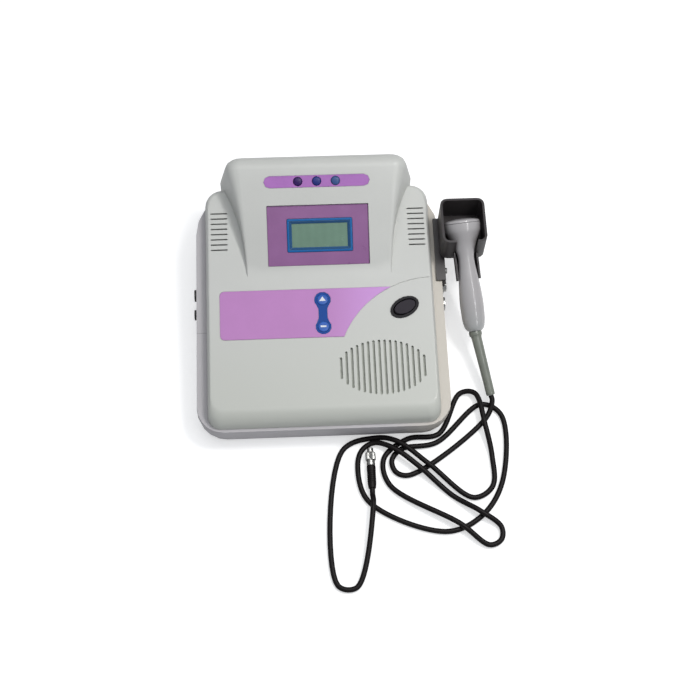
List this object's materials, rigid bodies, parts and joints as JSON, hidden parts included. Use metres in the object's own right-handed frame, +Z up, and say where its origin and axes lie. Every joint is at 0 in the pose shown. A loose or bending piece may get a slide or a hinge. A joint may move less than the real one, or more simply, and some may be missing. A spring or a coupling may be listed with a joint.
{
  "type": "fetal doppler monitor",
  "caption": "Desktop fetal doppler monitor: sloped console with a display hood, keys, power switch and speaker, a side holder with a hand probe, and the probe's loose cord and plug.",
  "frame": {"origin": "centre of the underside of the console with its holder and probe, on the plane that the rubber feet stand on, measured without the cord and its plug", "axes": "+Z up from the table, +Y from the console's front to its back, +X to the user's right, where the probe holder is"},
  "size_m": [0.3133, 0.43, 0.1121],
  "materials": {
    "body_plastic": "satin light grey moulded plastic",
    "base_plastic": "satin mid grey moulded plastic",
    "mauve_film": "glossy mauve printed film",
    "lilac_film": "glossy lilac printed film",
    "blue_plastic": "glossy blue plastic",
    "display_glass": "grey green liquid crystal glass",
    "key_blue": "satin blue plastic",
    "black_plastic": "satin black plastic",
    "lens_plastic": "clear tinted domed plastic",
    "circuit_board": "green lacquered board",
    "bright_metal": "bright nickel plating",
    "probe_plastic": "glossy light grey plastic",
    "relief_rubber": "grey flexible rubber",
    "cord_rubber": "smooth black cord jacket",
    "foot_rubber": "matt black rubber",
    "cone_paper": "matt dark paper cone",
    "battery_wrap": "blue shrink wrap"
  },
  "bodies": {
    "console": {"front_label": "lilac_film", "key_backing": "key_blue", "key_board": "circuit_board", "power_switch_bezel": "black_plastic", "speaker_frame": "bright_metal", "speaker_cone": "cone_paper", "display_overlay": "mauve_film", "lcd_frame": "blue_plastic", "lcd_glass": "display_glass", "display_board": "circuit_board", "indicator_strip": "lilac_film", "indicator_lens_left": "lens_plastic", "indicator_lens_middle": "lens_plastic", "indicator_lens_right": "lens_plastic", "indicator_board": "circuit_board", "main_board": "circuit_board", "ultrasound_shield": "bright_metal", "battery_pack": "battery_wrap", "power_supply": "circuit_board", "probe_socket": "bright_metal", "earphone_socket": "bright_metal", "charger_socket": "black_plastic", "data_socket": "black_plastic", "rubber_foot_1": "foot_rubber", "rubber_foot_2": "foot_rubber", "rubber_foot_3": "foot_rubber", "rubber_foot_4": "foot_rubber", "case_screw_1": "bright_metal", "case_screw_2": "bright_metal", "case_screw_3": "bright_metal", "case_screw_4": "bright_metal", "bracket_screw_1": "bright_metal", "bracket_screw_2": "bright_metal", "top_cover": "body_plastic", "base_tray": "base_plastic", "holder_bracket": "black_plastic", "probe_holder": "black_plastic", "plug_body": "bright_metal", "plug_ring": "bright_metal", "plug_boot": "cord_rubber", "probe_cord": "cord_rubber"},
    "power_rocker": {"power_rocker": "black_plastic"},
    "volume_up_key": {"volume_up_key": "key_blue"},
    "volume_down_key": {"volume_down_key": "key_blue"},
    "probe": {"probe_shell_upper": "probe_plastic", "probe_shell_lower": "probe_plastic", "probe_face": "probe_plastic", "crystal_disc": "bright_metal", "probe_board": "circuit_board", "probe_strain_relief": "relief_rubber"}
  },
  "joints": [
    {"name": "power_switch_rock", "type": "hinge", "parent": "console", "child": "power_rocker", "pos_m": [0.06126, -0.01913, 0.0588], "axis": [0.4695, -0.8793, -0.0806], "range_deg": [0, 16]},
    {"name": "volume_up_press", "type": "slide", "parent": "console", "child": "volume_up_key", "axis": [0, 0.0913, -0.9958], "range_m": [0, 0.0006], "stiffness_N_per_m": 300, "springref_m": -0.001},
    {"name": "volume_down_press", "type": "slide", "parent": "console", "child": "volume_down_key", "axis": [0, 0.0913, -0.9958], "range_m": [0, 0.0006], "stiffness_N_per_m": 300, "springref_m": -0.001},
    {"name": "probe_lift", "type": "slide", "parent": "console", "child": "probe", "axis": [0, 0, 1], "range_m": [0, 0.07]}
  ]
}
